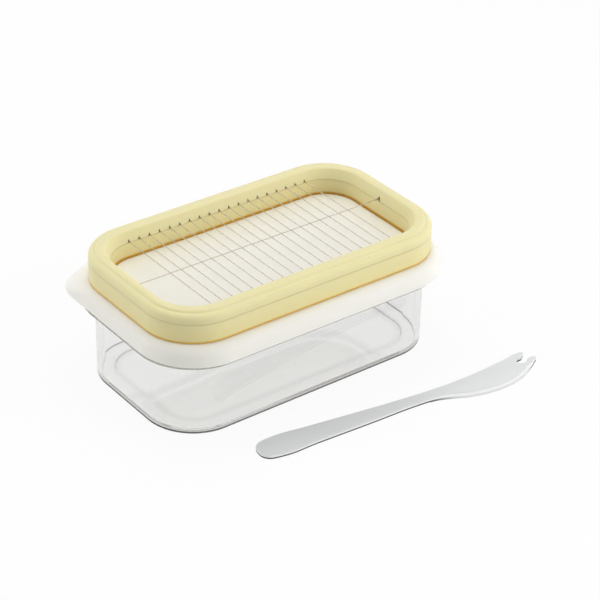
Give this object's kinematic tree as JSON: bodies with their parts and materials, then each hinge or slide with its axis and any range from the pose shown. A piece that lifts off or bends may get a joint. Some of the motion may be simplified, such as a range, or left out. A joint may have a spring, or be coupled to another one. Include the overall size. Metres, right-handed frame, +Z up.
{
  "type": "butter cutting box",
  "caption": "Clear butter tub with a soft white lid, a pale yellow cutter frame strung with fine steel wires and a flat fork-tipped butter knife.",
  "frame": {"origin": "centre of the tub's flat underside, on the surface that the box stands on", "axes": "+X along the long side of the tub, +Y across it away from the knife, +Z up"},
  "size_m": [0.1858, 0.1441, 0.0652],
  "materials": {
    "clear_plastic": "clear moulded styrene, glossy",
    "white_plastic": "soft moulded polyethylene, satin",
    "yellow_plastic": "moulded ABS, satin gloss, pale yellow",
    "wire_steel": "drawn stainless wire, bright",
    "knife_steel": "stainless sheet, brushed along its length"
  },
  "bodies": {
    "tub": {"tub": "clear_plastic"},
    "lid": {"lid": "white_plastic"},
    "cutter": {"cutter_lower_ring": "yellow_plastic", "cutter_upper_ring": "yellow_plastic", "cross_wire_01": "wire_steel", "cross_wire_02": "wire_steel", "cross_wire_03": "wire_steel", "cross_wire_04": "wire_steel", "cross_wire_05": "wire_steel", "cross_wire_06": "wire_steel", "cross_wire_07": "wire_steel", "cross_wire_08": "wire_steel", "cross_wire_09": "wire_steel", "cross_wire_10": "wire_steel", "cross_wire_11": "wire_steel", "cross_wire_12": "wire_steel", "cross_wire_13": "wire_steel", "cross_wire_14": "wire_steel", "cross_wire_15": "wire_steel", "cross_wire_16": "wire_steel", "cross_wire_17": "wire_steel", "cross_wire_18": "wire_steel", "cross_wire_19": "wire_steel", "long_wire": "wire_steel"},
    "knife": {"butter_knife": "knife_steel"}
  },
  "joints": [
    {"name": "lid_lift", "type": "slide", "parent": "tub", "child": "lid", "axis": [0, 0, 1], "range_m": [0, 0.07]},
    {"name": "cutter_lift", "type": "slide", "parent": "lid", "child": "cutter", "axis": [0, 0, 1], "range_m": [0, 0.05]},
    {"name": "knife_lift", "type": "slide", "parent": "tub", "child": "knife", "axis": [0, 0, 1], "range_m": [0, 0.1]}
  ]
}
